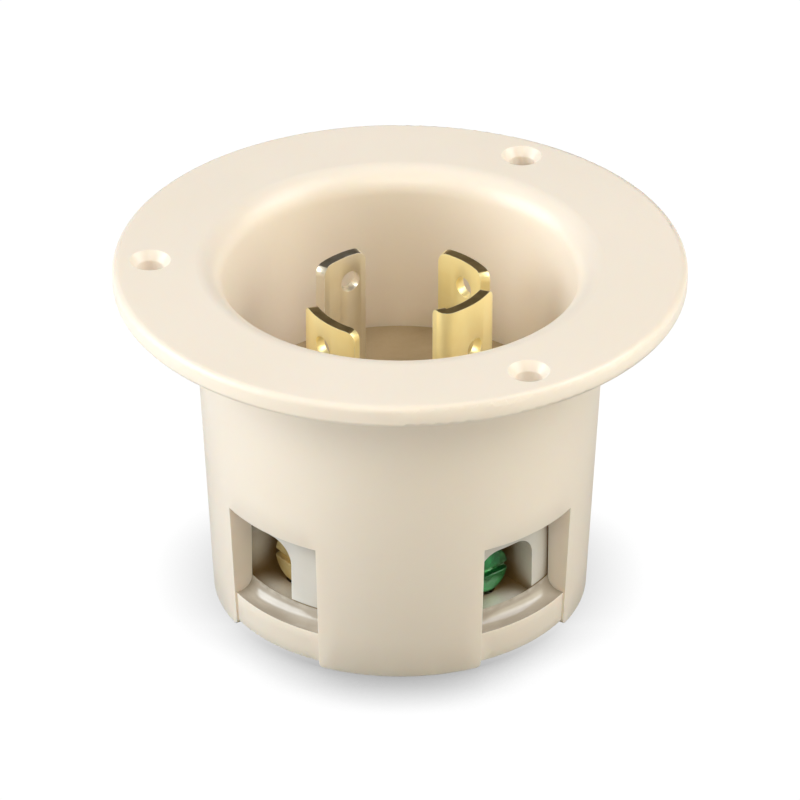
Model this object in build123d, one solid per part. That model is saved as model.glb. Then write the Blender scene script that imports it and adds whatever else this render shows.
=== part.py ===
from build123d import *

# Four-blade locking power inlet with a round panel flange, four wire terminals and rear feet.
#
# Millimetres. The origin is the centre of the flange's rear face, the face that lies on the
# panel. +Z points out of the panel, towards the mating connector, and the feet point to -Z.
# Azimuths are in degrees from +X towards +Y.

import os
from math import cos, degrees, radians, sin, sqrt, tan
from typing import NamedTuple

# Flange
FLANGE_OVERHANG = 11.45
FLANGE_THICKNESS = 3.3
FLANGE_TOP_ROUND = 1.0
FLANGE_REAR_ROUND = 0.9
FLANGE_ROOT_ROUND = 1.0
HOLE_COUNT = 3
HOLE_AZIMUTH = 180.0
HOLE_OFFSET = 6.0
HOLE_DIAMETER = 3.9
HOLE_SINK_DIAMETER = 6.0
HOLE_SINK_ANGLE = 82.0

# Body, cup and sleeve
BODY_DIAMETER = 60.0
BODY_DRAFT = 2.75
OVERALL_HEIGHT = 53.6
CUP_DEPTH = 25.3
CUP_MOUTH_WALL = 4.2
CUP_MOUTH_ROUND = 3.8
SLEEVE_FOOT_WALL = 2.65
SEAT_LEDGE = 0.45

# Windows, rails and feet
WINDOW_AZIMUTH = 47.5
WINDOW_SPAN = 34.8
WINDOW_HEIGHT = 14.85
RAIL_RECESS = 0.3
RAIL_HEIGHT = 4.85
SILL_LIP = 0.35
FOOT_HEIGHT = 0.8
FOOT_CORNER_ROUND = 0.7

# Insulating base, terminal housing and rear cover
CORE_CLEARANCE = 0.15
BASE_THICKNESS = 6.0
COVER_RECESS = 2.4
COVER_THICKNESS = 2.5
HOUSING_FLOOR = 2.0
POCKET_WIDTH = 10.0
POCKET_HEIGHT = 10.1
POCKET_ROUND = 3.4
POCKET_BACK_CLEARANCE = 0.25
SLOT_CLEARANCE = 0.08
WIRE_ENTRY_DIAMETER = 4.6
WIRE_ENTRY_GAP = 0.1

# Blades
BLADE_CIRCLE_DIAMETER = 28.2
BLADE_THICKNESS = 1.5
BLADE_TIP_DEPTH = 5.1
GROUND_LEAD = 3.2
BLADE_TIP_ROUND = 1.5
TAB_FLAT_LEFT = 0.01
BLADE_STEM_SWEEP = 31.0
HOOK_HEIGHT = 10.5
TIP_HOLE_DIAMETER = 3.2
TIP_HOLE_DEPTH = 4.35
TERMINAL_FACE_DIAMETER = 32.0
PLATE_SWEEP = 26.0
PLATE_TOP_GAP = 1.3
PLATE_FLOOR_GAP = 0.2
GROUND_TAB_REACH = 1.6
GROUND_BEND_ROUND = 1.7

# Terminal screws, washers and clamp plates
SCREW_DIAMETER = 4.1
SCREW_RUNNING_CLEARANCE = 0.05
SCREW_TIP_CLEARANCE = 0.5
SCREW_HEIGHT = 3.8
SCREW_HEAD_DIAMETER = 7.2
SCREW_HEAD_HEIGHT = 2.2
SCREW_HEAD_ROUND = 0.5
SCREW_REACH = 0.8
SCREW_TIP_ROOM = 1.4
DRIVER_SLOT_WIDTH = 1.1
DRIVER_SLOT_DEPTH = 1.1
WASHER_DIAMETER = 6.6
WASHER_THICKNESS = 0.6
WASHER_SPLIT = 0.5
CLAMP_REST_GAP = 0.8
CLAMP_THICKNESS = 1.2
CLAMP_SIDE_GAP = 0.6
CLAMP_FLOOR_GAP = 0.4
CLAMP_HEIGHT = 7.3
CLAMP_ROUND = 0.8

# Assembly screws and the shell's pads that they enter
ASSEMBLY_SCREW_DIAMETER = 3.4
ASSEMBLY_HEAD_DIAMETER = 5.8
ASSEMBLY_HEAD_HEIGHT = 1.9
ASSEMBLY_HEAD_ROUND = 0.5
ASSEMBLY_INSET = 3.7
ASSEMBLY_GRIP = 4.0
ASSEMBLY_HOLE_CLEARANCE = 0.25
PAD_WIDTH = 8.0
PAD_INNER_MARGIN = 2.9
PAD_CLEARANCE = 0.1


class Pole(NamedTuple):
    """One conductor: its terminal's azimuth, and its blade's tip on the blade circle."""

    terminal: float
    tip_start: float
    tip_sweep: float
    tip_hole: float


POLES = {
    "hot_y": Pole(terminal=39.0, tip_start=21.8, tip_sweep=42.0, tip_hole=42.4),
    "neutral": Pole(terminal=129.0, tip_start=113.5, tip_sweep=37.0, tip_hole=125.3),
    "hot_x": Pole(terminal=219.0, tip_start=195.7, tip_sweep=47.0, tip_hole=217.5),
    "ground": Pole(terminal=309.0, tip_start=295.0, tip_sweep=45.5, tip_hole=319.9),
}

# Levels, from the flange down to the feet
FLANGE_TOP = FLANGE_THICKNESS
CUP_FLOOR = FLANGE_TOP - CUP_DEPTH
BASE_REAR = CUP_FLOOR - BASE_THICKNESS
FOOT = FLANGE_TOP - OVERALL_HEIGHT
RAIL_BOTTOM = FOOT + FOOT_HEIGHT
WINDOW_BOTTOM = RAIL_BOTTOM + RAIL_HEIGHT
WINDOW_TOP = WINDOW_BOTTOM + WINDOW_HEIGHT
COVER_REAR = FOOT + COVER_RECESS
COVER_FRONT = COVER_REAR + COVER_THICKNESS
POCKET_FLOOR = COVER_FRONT + HOUSING_FLOOR
POCKET_TOP = POCKET_FLOOR + POCKET_HEIGHT
SCREW_LEVEL = POCKET_FLOOR + SCREW_HEIGHT
BLADE_TIP = FLANGE_TOP - BLADE_TIP_DEPTH
TIP_HOLE_LEVEL = BLADE_TIP - TIP_HOLE_DEPTH
HOOK_UNDERSIDE = BLADE_TIP - HOOK_HEIGHT

# Radii, from the centre out
BLADE_OUTER = BLADE_CIRCLE_DIAMETER / 2
BLADE_INNER = BLADE_OUTER - BLADE_THICKNESS
POCKET_BACK = BLADE_INNER * cos(radians(PLATE_SWEEP / 2)) - POCKET_BACK_CLEARANCE
TERMINAL_FACE = TERMINAL_FACE_DIAMETER / 2
CLAMP_INNER = TERMINAL_FACE + CLAMP_REST_GAP
WASHER_INNER = CLAMP_INNER + CLAMP_THICKNESS
HEAD_INNER = WASHER_INNER + WASHER_THICKNESS
SCREW_TIP = BLADE_INNER - SCREW_REACH
SCREW_RADIUS = SCREW_DIAMETER / 2
SCREW_HOLE_RADIUS = SCREW_RADIUS + SCREW_RUNNING_CLEARANCE
WIRE_ENTRY_RADIUS = WIRE_ENTRY_DIAMETER / 2
WIRE_ENTRY_CENTRE = TERMINAL_FACE + WIRE_ENTRY_GAP + WIRE_ENTRY_RADIUS
BODY_RADIUS = BODY_DIAMETER / 2
FLANGE_RADIUS = BODY_RADIUS + FLANGE_OVERHANG
SLEEVE_BORE = BODY_RADIUS + FOOT * tan(radians(BODY_DRAFT)) - SLEEVE_FOOT_WALL
CUP_FLOOR_RADIUS = SLEEVE_BORE - SEAT_LEDGE
CORE_RADIUS = SLEEVE_BORE - CORE_CLEARANCE
ASSEMBLY_CENTRE = CORE_RADIUS - ASSEMBLY_INSET
ASSEMBLY_RADIUS = ASSEMBLY_SCREW_DIAMETER / 2
PAD_INNER = ASSEMBLY_CENTRE - PAD_INNER_MARGIN

# Overlaps that let a cut run clear through, or a pad root in its wall
THROUGH = 1.0
PAD_ROOT = 0.5

# How near two measures are when they count as the same
SAME = 0.001


def body_radius(level):
    """Outer radius of the tapered body at a level."""
    return BODY_RADIUS + level * tan(radians(BODY_DRAFT))


def disc(radius, bottom, top):
    """Upright cylinder about the main axis between two levels."""
    return Pos(0, 0, bottom) * Cylinder(radius, top - bottom, align=(Align.CENTER, Align.CENTER, Align.MIN))


def upright(radius, centre, azimuth, bottom, top):
    """Upright cylinder whose axis stands at a radius and an azimuth."""
    return Rot(0, 0, azimuth) * Pos(centre, 0, 0) * disc(radius, bottom, top)


def sector_face(inner, outer, start, sweep):
    """Flat ring sector at the panel plane."""
    outside = CenterArc((0, 0), outer, start, sweep)
    inside = CenterArc((0, 0), inner, start, sweep)
    ends = [Line(outside @ 0, inside @ 0), Line(outside @ 1, inside @ 1)]
    return make_face([outside, inside] + ends)


def rise(face, bottom, top):
    """Extrude a flat face from one level up to another."""
    return extrude(Pos(0, 0, bottom) * face, amount=top - bottom, dir=(0, 0, 1))


def sector(inner, outer, start, sweep, bottom, top):
    """Ring sector between two radii and two levels."""
    return rise(sector_face(inner, outer, start, sweep), bottom, top)


def radial(azimuth, near):
    """Location whose local +Z runs outward along an azimuth, at the terminal screws' level."""
    return Rot(0, 0, azimuth) * Pos(near, 0, SCREW_LEVEL) * Rot(0, 90, 0)


def rod(radius, length):
    """Cylinder from the local origin along local +Z."""
    return Cylinder(radius, length, align=(Align.CENTER, Align.CENTER, Align.MIN))


def nearest(shape, x, y):
    """The vertex of a flat shape that is nearest to a point."""
    return shape.vertices().sort_by_distance((x, y, 0))[0]


def window_azimuths():
    """Middle azimuths of the four windows, mirrored about both upright planes."""
    return [WINDOW_AZIMUTH, 180 - WINDOW_AZIMUTH, 180 + WINDOW_AZIMUTH, 360 - WINDOW_AZIMUTH]


def shell_profile():
    """Half section of flange, cup and sleeve, with radius along X and level along Y."""
    mouth = BODY_RADIUS - CUP_MOUTH_WALL
    outline = Polyline(
        (mouth, FLANGE_TOP),
        (CUP_FLOOR_RADIUS, CUP_FLOOR),
        (SLEEVE_BORE, CUP_FLOOR),
        (SLEEVE_BORE, FOOT),
        (body_radius(FOOT), FOOT),
        (BODY_RADIUS, 0),
        (FLANGE_RADIUS, 0),
        (FLANGE_RADIUS, FLANGE_TOP),
        close=True,
    )
    profile = make_face(outline)
    profile = fillet(nearest(profile, mouth, FLANGE_TOP), CUP_MOUTH_ROUND)
    profile = fillet(nearest(profile, FLANGE_RADIUS, FLANGE_TOP), FLANGE_TOP_ROUND)
    profile = fillet(nearest(profile, FLANGE_RADIUS, 0), FLANGE_REAR_ROUND)
    return fillet(nearest(profile, BODY_RADIUS, 0), FLANGE_ROOT_ROUND)


def flange_hole(azimuth):
    """Countersunk screw hole through the flange."""
    sink_depth = (HOLE_SINK_DIAMETER - HOLE_DIAMETER) / 2 / tan(radians(HOLE_SINK_ANGLE / 2))
    bore = disc(HOLE_DIAMETER / 2, -THROUGH, FLANGE_TOP + THROUGH)
    sink = Cone(HOLE_DIAMETER / 2, HOLE_SINK_DIAMETER / 2, sink_depth, align=(Align.CENTER, Align.CENTER, Align.MAX))
    cut = bore + Pos(0, 0, FLANGE_TOP) * sink
    return Rot(0, 0, azimuth) * Pos(BODY_RADIUS + HOLE_OFFSET, 0, 0) * cut


def sill_ring():
    """Ring whose hollowed top rises from the rails' lips to the core, as the windows' sills."""
    lip = body_radius(WINDOW_BOTTOM) - RAIL_RECESS - SILL_LIP
    sweep = lip - SLEEVE_BORE
    root = SLEEVE_BORE - 2 * THROUGH
    bottom = FOOT - 2 * THROUGH
    outside = BODY_RADIUS + 2 * THROUGH
    hollow = CenterArc((lip, WINDOW_BOTTOM + sweep), sweep, 180, 90)
    edges = Polyline(hollow @ 1, (outside, WINDOW_BOTTOM), (outside, bottom), (root, bottom),
                     (root, WINDOW_BOTTOM + sweep), hollow @ 0)
    return revolve(Plane.XZ * make_face([hollow, edges]), Axis.Z)


def window_cuts(azimuth):
    """One window down to its rail's sill, the rail's small set-back, and the gap under the rail."""
    start = azimuth - WINDOW_SPAN / 2
    inside = SLEEVE_BORE - THROUGH
    outside = BODY_RADIUS + THROUGH
    below = FOOT - THROUGH
    window = sector(inside, outside, start, WINDOW_SPAN, RAIL_BOTTOM, WINDOW_TOP) - sill_ring()
    gap = sector(inside, outside, start, WINDOW_SPAN, below, RAIL_BOTTOM)
    low = body_radius(below) - RAIL_RECESS
    high = body_radius(WINDOW_TOP) - RAIL_RECESS
    kept = Cone(low, high, WINDOW_TOP - below, align=(Align.CENTER, Align.CENTER, Align.MIN))
    set_back = sector(inside, outside, start, WINDOW_SPAN, below, WINDOW_TOP) - Pos(0, 0, below) * kept
    return window + gap + set_back


def pad(azimuth, clearance, bottom):
    """Block on the sleeve's inner wall that an assembly screw enters, or the notch that clears it."""
    length = SLEEVE_BORE + PAD_ROOT - PAD_INNER + clearance
    block = Box(length, PAD_WIDTH + 2 * clearance, CUP_FLOOR - bottom, align=(Align.MIN, Align.CENTER, Align.MIN))
    return Rot(0, 0, azimuth) * Pos(PAD_INNER - clearance, 0, bottom) * block


def flange_shell():
    """Flange, cup and sleeve in one moulding, with windows, feet and two screw pads."""
    shell = revolve(Plane.XZ * shell_profile(), Axis.Z)
    for index in range(HOLE_COUNT):
        shell -= flange_hole(HOLE_AZIMUTH + index * 360 / HOLE_COUNT)
    for azimuth in window_azimuths():
        shell -= window_cuts(azimuth)
    lines = shell.edges().filter_by(GeomType.LINE)
    corners = [edge for edge in lines if abs(edge.center().Z - FOOT) < SAME]
    shell = fillet(corners, FOOT_CORNER_ROUND)
    for azimuth in (0, 180):
        shell += pad(azimuth, 0, BASE_REAR)
        shell -= upright(ASSEMBLY_RADIUS + SCREW_RUNNING_CLEARANCE, ASSEMBLY_CENTRE, azimuth,
                         BASE_REAR - THROUGH, BASE_REAR + ASSEMBLY_GRIP + THROUGH)
    return shell


def stem_slot(pole, bottom, top):
    """Clear passage for a blade's stem."""
    play = degrees(SLOT_CLEARANCE / BLADE_INNER)
    return sector(BLADE_INNER - SLOT_CLEARANCE, BLADE_OUTER + SLOT_CLEARANCE,
                  pole.tip_start - play, BLADE_STEM_SWEEP + 2 * play, bottom, top)


def tab_face(pole, clearance):
    """Flat outline of the ground blade's inward tab, which lies along the blade's first end."""
    reach = BLADE_THICKNESS + GROUND_TAB_REACH
    outline = Rectangle(reach + 2 * clearance, BLADE_THICKNESS + 2 * clearance, align=(Align.MAX, Align.MIN))
    placed = Rot(0, 0, pole.tip_start) * Pos(BLADE_OUTER + clearance, -clearance) * outline
    return placed & Circle(BLADE_OUTER + clearance)


def blade_base():
    """Insulating disc that is the cup's floor and holds the blades."""
    base = disc(CORE_RADIUS, BASE_REAR, CUP_FLOOR)
    for pole in POLES.values():
        base -= stem_slot(pole, BASE_REAR - THROUGH, CUP_FLOOR + THROUGH)
    base -= rise(tab_face(POLES["ground"], SLOT_CLEARANCE), BASE_REAR - THROUGH, CUP_FLOOR + THROUGH)
    for azimuth in (0, 180):
        base -= pad(azimuth, PAD_CLEARANCE, BASE_REAR - THROUGH)
    return base


def pocket(pole):
    """Open-fronted terminal pocket with rounded upper corners."""
    outline = Rectangle(POCKET_WIDTH, POCKET_HEIGHT, align=(Align.CENTER, Align.MIN))
    outline = fillet(outline.vertices().group_by(Axis.Y)[-1], POCKET_ROUND)
    face = Plane(origin=(POCKET_BACK, 0, POCKET_FLOOR), x_dir=(0, 1, 0), z_dir=(1, 0, 0)) * outline
    return Rot(0, 0, pole.terminal) * extrude(face, amount=CORE_RADIUS + THROUGH - POCKET_BACK)


def terminal_housing():
    """Core with one pocket for each terminal, between the base and the rear cover."""
    housing = disc(CORE_RADIUS, COVER_FRONT, BASE_REAR)
    tip_room = SCREW_TIP - SCREW_TIP_ROOM
    for pole in POLES.values():
        housing -= pocket(pole)
        housing -= stem_slot(pole, POCKET_TOP - POCKET_ROUND, BASE_REAR + THROUGH)
        housing -= radial(pole.terminal, tip_room) * rod(SCREW_RADIUS + SCREW_TIP_CLEARANCE, BLADE_INNER - tip_room)
        housing -= upright(WIRE_ENTRY_RADIUS, WIRE_ENTRY_CENTRE, pole.terminal,
                           COVER_FRONT - THROUGH, POCKET_FLOOR + THROUGH)
    for azimuth in (0, 180):
        housing -= upright(ASSEMBLY_RADIUS + ASSEMBLY_HOLE_CLEARANCE, ASSEMBLY_CENTRE, azimuth,
                           COVER_FRONT - THROUGH, BASE_REAR + THROUGH)
    return housing


def rear_cover():
    """Closing plate with a wire entry for each terminal."""
    cover = disc(CORE_RADIUS, COVER_REAR, COVER_FRONT)
    for pole in POLES.values():
        cover -= upright(WIRE_ENTRY_RADIUS, WIRE_ENTRY_CENTRE, pole.terminal,
                         COVER_REAR - THROUGH, COVER_FRONT + THROUGH)
    for azimuth in (0, 180):
        cover -= upright(ASSEMBLY_RADIUS + ASSEMBLY_HOLE_CLEARANCE, ASSEMBLY_CENTRE, azimuth,
                         COVER_REAR - THROUGH, COVER_FRONT + THROUGH)
    return cover


def blade_face(pole, sweep, with_tab):
    """Flat outline of a blade, with the ground blade's bent tab where it is asked for."""
    face = sector_face(BLADE_INNER, BLADE_OUTER, pole.tip_start, sweep)
    if not with_tab:
        return face
    bend = radians(pole.tip_start)
    face = face + tab_face(pole, 0)
    return fillet(nearest(face, BLADE_OUTER * cos(bend), BLADE_OUTER * sin(bend)), GROUND_BEND_ROUND)


def ground_tip_round():
    """Round of the ground blade's tip corners, kept within the flat of its tab's inner side."""
    tab_flat = sqrt(BLADE_INNER**2 - BLADE_THICKNESS**2) - (BLADE_INNER - GROUND_TAB_REACH)
    return min(BLADE_TIP_ROUND, tab_flat - TAB_FLAT_LEFT)


def blade(name):
    """Hooked locking blade, its stem, and the tapped terminal block that its screw enters."""
    pole = POLES[name]
    tabbed = name == "ground"
    tip = BLADE_TIP + (GROUND_LEAD if tabbed else 0)
    head = rise(blade_face(pole, pole.tip_sweep, tabbed), HOOK_UNDERSIDE, tip)
    ends = [edge for edge in head.edges().filter_by(GeomType.LINE)
            if abs(edge.center().Z - tip) < SAME and abs(edge.length - BLADE_THICKNESS) < SAME]
    head = fillet(ends, ground_tip_round() if tabbed else BLADE_TIP_ROUND)
    neck = rise(blade_face(pole, BLADE_STEM_SWEEP, tabbed), BASE_REAR + THROUGH, HOOK_UNDERSIDE)
    stem = rise(blade_face(pole, BLADE_STEM_SWEEP, False), POCKET_TOP - POCKET_ROUND, BASE_REAR + THROUGH)
    plate = sector(BLADE_INNER, TERMINAL_FACE, pole.terminal - PLATE_SWEEP / 2, PLATE_SWEEP,
                   POCKET_FLOOR + PLATE_FLOOR_GAP, POCKET_TOP - PLATE_TOP_GAP)
    solid = head + neck + stem + plate
    solid -= radial(pole.terminal, POCKET_BACK - THROUGH) * rod(
        SCREW_HOLE_RADIUS, TERMINAL_FACE - POCKET_BACK + 2 * THROUGH)
    tip_hole = rod(TIP_HOLE_DIAMETER / 2, BLADE_THICKNESS + 2 * THROUGH)
    lift = Pos(0, 0, TIP_HOLE_LEVEL - SCREW_LEVEL)
    return solid - lift * radial(pole.tip_hole, BLADE_INNER - THROUGH) * tip_hole


def clamp(name):
    """Flat plate that the terminal screw presses towards the blade's plate."""
    width = POCKET_WIDTH - 2 * CLAMP_SIDE_GAP
    outline = Rectangle(width, CLAMP_HEIGHT, align=(Align.CENTER, Align.MIN))
    outline = fillet(outline.vertices(), CLAMP_ROUND)
    low = POCKET_FLOOR + CLAMP_FLOOR_GAP
    face = Plane(origin=(CLAMP_INNER, 0, low), x_dir=(0, 1, 0), z_dir=(1, 0, 0)) * outline
    plate = Rot(0, 0, POLES[name].terminal) * extrude(face, amount=CLAMP_THICKNESS)
    return plate - radial(POLES[name].terminal, CLAMP_INNER - THROUGH) * rod(
        SCREW_HOLE_RADIUS, CLAMP_THICKNESS + 2 * THROUGH)


def washer(name):
    """Split spring washer between the clamp plate and the screw's head."""
    ring = rod(WASHER_DIAMETER / 2, WASHER_THICKNESS) - rod(SCREW_HOLE_RADIUS, WASHER_THICKNESS)
    split = Box(WASHER_DIAMETER, WASHER_SPLIT, WASHER_THICKNESS, align=(Align.MIN, Align.CENTER, Align.MIN))
    return radial(POLES[name].terminal, WASHER_INNER) * (ring - split)


def screw(head_radius, head_height, head_round, shank_radius, shank_length):
    """Slotted screw whose head stands on the local origin, with its shank along local -Z."""
    head = rod(head_radius, head_height)
    head = fillet(head.edges().filter_by(GeomType.CIRCLE).sort_by(Axis.Z)[-1], head_round)
    slot = Box(DRIVER_SLOT_WIDTH, 2 * head_radius + THROUGH, DRIVER_SLOT_DEPTH,
               align=(Align.CENTER, Align.CENTER, Align.MAX))
    shank = Cylinder(shank_radius, shank_length, align=(Align.CENTER, Align.CENTER, Align.MAX))
    return head + shank - Pos(0, 0, head_height) * slot


def terminal_screw(name):
    """Slotted terminal screw through washer, clamp plate and terminal plate."""
    body = screw(SCREW_HEAD_DIAMETER / 2, SCREW_HEAD_HEIGHT, SCREW_HEAD_ROUND,
                 SCREW_RADIUS, HEAD_INNER - SCREW_TIP)
    return radial(POLES[name].terminal, HEAD_INNER) * body


def assembly_screws():
    """The two long screws that pull rear cover, housing and base into the shell."""
    length = BASE_REAR + ASSEMBLY_GRIP - COVER_REAR
    body = screw(ASSEMBLY_HEAD_DIAMETER / 2, ASSEMBLY_HEAD_HEIGHT, ASSEMBLY_HEAD_ROUND,
                 ASSEMBLY_RADIUS, length)
    upside_down = Pos(ASSEMBLY_CENTRE, 0, COVER_REAR) * Rot(180, 0, 0) * body
    return Part() + [Rot(0, 0, azimuth) * upside_down for azimuth in (0, 180)]


def pieces():
    """Every sub-part by name."""
    made = {
        "flange_shell": flange_shell(),
        "blade_base": blade_base(),
        "terminal_housing": terminal_housing(),
        "rear_cover": rear_cover(),
        "assembly_screws": assembly_screws(),
    }
    for name in POLES:
        made[f"blade_{name}"] = blade(name)
        made[f"clamp_{name}"] = clamp(name)
        made[f"washer_{name}"] = washer(name)
        made[f"screw_{name}"] = terminal_screw(name)
    return made


os.makedirs("parts", exist_ok=True)
for node, solid in pieces().items():
    export_step(solid, f"parts/{node}.step")
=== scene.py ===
"""Studio scene for a flanged four-blade locking inlet.

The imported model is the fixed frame. Its nodes keep their shapes and places; this file rounds their
edges, gives every surface its finish, models the slotted screws and the serrated clamps in full, and
lights the part on a pale floor. Lengths are in metres, apart from the lens's focal length, and angles
are in degrees.
"""

from __future__ import annotations

import logging
import math
from dataclasses import dataclass, field, replace
from enum import Enum
from functools import cached_property
from typing import Callable

import bpy
from mathutils import Matrix, Vector

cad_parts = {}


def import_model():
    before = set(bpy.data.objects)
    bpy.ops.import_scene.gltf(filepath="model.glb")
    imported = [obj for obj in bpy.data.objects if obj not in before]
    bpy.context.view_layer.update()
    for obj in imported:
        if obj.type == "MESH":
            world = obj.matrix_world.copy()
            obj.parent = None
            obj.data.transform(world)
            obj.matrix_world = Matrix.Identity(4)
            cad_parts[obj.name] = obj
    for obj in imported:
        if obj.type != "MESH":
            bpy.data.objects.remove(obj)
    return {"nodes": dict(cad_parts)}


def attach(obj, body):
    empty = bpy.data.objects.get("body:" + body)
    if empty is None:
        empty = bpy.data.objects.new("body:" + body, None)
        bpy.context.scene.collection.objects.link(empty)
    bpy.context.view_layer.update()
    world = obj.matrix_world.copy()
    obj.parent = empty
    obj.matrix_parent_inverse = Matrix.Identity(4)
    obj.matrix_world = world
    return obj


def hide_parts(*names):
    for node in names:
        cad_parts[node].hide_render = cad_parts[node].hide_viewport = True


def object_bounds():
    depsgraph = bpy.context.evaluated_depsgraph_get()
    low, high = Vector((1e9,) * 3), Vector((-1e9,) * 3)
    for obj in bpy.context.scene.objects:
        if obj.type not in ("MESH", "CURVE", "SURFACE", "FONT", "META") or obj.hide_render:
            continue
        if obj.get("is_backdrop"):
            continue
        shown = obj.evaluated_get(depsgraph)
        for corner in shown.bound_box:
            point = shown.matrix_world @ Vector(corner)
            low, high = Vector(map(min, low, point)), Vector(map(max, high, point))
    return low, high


LOG = logging.getLogger("inlet")
MM = 0.001
NEAR = 0.01 * MM  # how far apart two levels may be and still count as the same
ROUND_SIDES = 48  # sides of a turned piece
Triple = tuple[float, float, float]
Test = Callable[[Vector, Vector], bool]


class Pole(Enum):
    """The four conductors, named as their nodes are."""

    HOT_X = "hot_x"
    HOT_Y = "hot_y"
    NEUTRAL = "neutral"
    GROUND = "ground"


# --------------------------------------------------------------------------------------------
# Shader groups
# --------------------------------------------------------------------------------------------


def remap(nodes: bpy.types.Nodes, start: float, end: float,
          low: float = 0.0, high: float = 1.0) -> bpy.types.Node:
    """Add a node that spreads one stretch of values over another and holds still beyond it.

    Args:
        nodes: The nodes of the material or group.
        start: The value that becomes low.
        end: The value that becomes high.
        low: What start becomes.
        high: What end becomes.

    Returns:
        The new node.
    """
    node = nodes.new("ShaderNodeMapRange")
    for socket, value in (("From Min", start), ("From Max", end), ("To Min", low), ("To Max", high)):
        node.inputs[socket].default_value = value
    return node


def colour_mix(nodes: bpy.types.Nodes) -> bpy.types.Node:
    """Add a node that mixes two colours.

    Args:
        nodes: The nodes of the material or group.

    Returns:
        The new node.
    """
    node = nodes.new("ShaderNodeMix")
    node.data_type = "RGBA"
    return node


class GroupMaker:
    """Builds the node groups that several finishes share, each of them once."""

    @staticmethod
    def _blank(name: str, inputs: dict[str, tuple[str, object]],
               outputs: dict[str, str]) -> bpy.types.NodeTree:
        """Make an empty group with its sockets.

        Args:
            name: The group's name.
            inputs: Socket name to its type and starting value.
            outputs: Socket name to its type.

        Returns:
            The new group, with its input and output nodes named "in" and "out".
        """
        tree = bpy.data.node_groups.new(name, "ShaderNodeTree")
        for socket, (kind, value) in inputs.items():
            made = tree.interface.new_socket(name=socket, in_out="INPUT", socket_type=kind)
            made.default_value = value
        for socket, kind in outputs.items():
            tree.interface.new_socket(name=socket, in_out="OUTPUT", socket_type=kind)
        tree.nodes.new("NodeGroupInput").name = "in"
        tree.nodes.new("NodeGroupOutput").name = "out"
        return tree

    @cached_property
    def edge_wear_and_highlight(self) -> bpy.types.NodeTree:
        """Return the group whose mask is high along convex edges, broken up by fine noise; it carries edge
        wear and painted edge highlights.
        """
        tree = self._blank(
            "edge_wear_and_highlight",
            {"Reach": ("NodeSocketFloat", 0.3 * MM), "Breakup": ("NodeSocketFloat", 900.0)},
            {"Mask": "NodeSocketFloat"},
        )
        nodes, links = tree.nodes, tree.links
        bevel = nodes.new("ShaderNodeBevel")
        bevel.samples = 4
        geometry = nodes.new("ShaderNodeNewGeometry")
        dot = nodes.new("ShaderNodeVectorMath")
        dot.operation = "DOT_PRODUCT"
        turned = remap(nodes, 0.995, 0.8)
        place = nodes.new("ShaderNodeTexCoord")
        noise = nodes.new("ShaderNodeTexNoise")
        noise.inputs["Detail"].default_value = 3.0
        broken = remap(nodes, 0.35, 0.65)
        both = nodes.new("ShaderNodeMath")
        both.operation = "MULTIPLY"
        links.new(nodes["in"].outputs["Reach"], bevel.inputs["Radius"])
        links.new(nodes["in"].outputs["Breakup"], noise.inputs["Scale"])
        links.new(bevel.outputs["Normal"], dot.inputs[0])
        links.new(geometry.outputs["Normal"], dot.inputs[1])
        links.new(dot.outputs["Value"], turned.inputs["Value"])
        links.new(place.outputs["Object"], noise.inputs["Vector"])
        links.new(noise.outputs["Fac"], broken.inputs["Value"])
        links.new(turned.outputs["Result"], both.inputs[0])
        links.new(broken.outputs["Result"], both.inputs[1])
        links.new(both.outputs["Value"], nodes["out"].inputs["Mask"])
        return tree

    @cached_property
    def drift(self) -> bpy.types.NodeTree:
        """Return the group that wanders slowly between two colours, with a finer mottle on top."""
        tree = self._blank(
            "colour_drift",
            {
                "Light": ("NodeSocketColor", (0.8, 0.8, 0.8, 1.0)),
                "Deep": ("NodeSocketColor", (0.7, 0.7, 0.7, 1.0)),
                "Broad": ("NodeSocketFloat", 40.0),
                "Fine": ("NodeSocketFloat", 400.0),
            },
            {"Color": "NodeSocketColor", "Value": "NodeSocketFloat"},
        )
        nodes, links = tree.nodes, tree.links
        place = nodes.new("ShaderNodeTexCoord")
        broad = nodes.new("ShaderNodeTexNoise")
        fine = nodes.new("ShaderNodeTexNoise")
        fine.inputs["Detail"].default_value = 4.0
        share = nodes.new("ShaderNodeMath")
        share.operation = "MULTIPLY_ADD"
        share.inputs[1].default_value = 0.3
        spread = remap(nodes, 0.4, 0.9)
        mix = colour_mix(nodes)
        for noise, scale in ((broad, "Broad"), (fine, "Fine")):
            links.new(place.outputs["Object"], noise.inputs["Vector"])
            links.new(nodes["in"].outputs[scale], noise.inputs["Scale"])
        links.new(fine.outputs["Fac"], share.inputs[0])
        links.new(broad.outputs["Fac"], share.inputs[2])
        links.new(share.outputs["Value"], spread.inputs["Value"])
        links.new(spread.outputs["Result"], mix.inputs["Factor"])
        links.new(nodes["in"].outputs["Light"], mix.inputs["A"])
        links.new(nodes["in"].outputs["Deep"], mix.inputs["B"])
        links.new(mix.outputs["Result"], nodes["out"].inputs["Color"])
        links.new(spread.outputs["Result"], nodes["out"].inputs["Value"])
        return tree

    @cached_property
    def pocket_shade(self) -> bpy.types.NodeTree:
        """Return the group that paints shade in pockets: 1 deep inside a pocket and 0 where the surface is
        open, from ambient occlusion.
        """
        tree = self._blank("pocket_shade", {"Reach": ("NodeSocketFloat", 5.0 * MM)}, {"Mask": "NodeSocketFloat"})
        nodes, links = tree.nodes, tree.links
        around = nodes.new("ShaderNodeAmbientOcclusion")
        around.samples = 12
        spread = remap(nodes, 0.68, 0.34)
        links.new(nodes["in"].outputs["Reach"], around.inputs["Distance"])
        links.new(around.outputs["AO"], spread.inputs["Value"])
        links.new(spread.outputs["Result"], nodes["out"].inputs["Mask"])
        return tree

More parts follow.
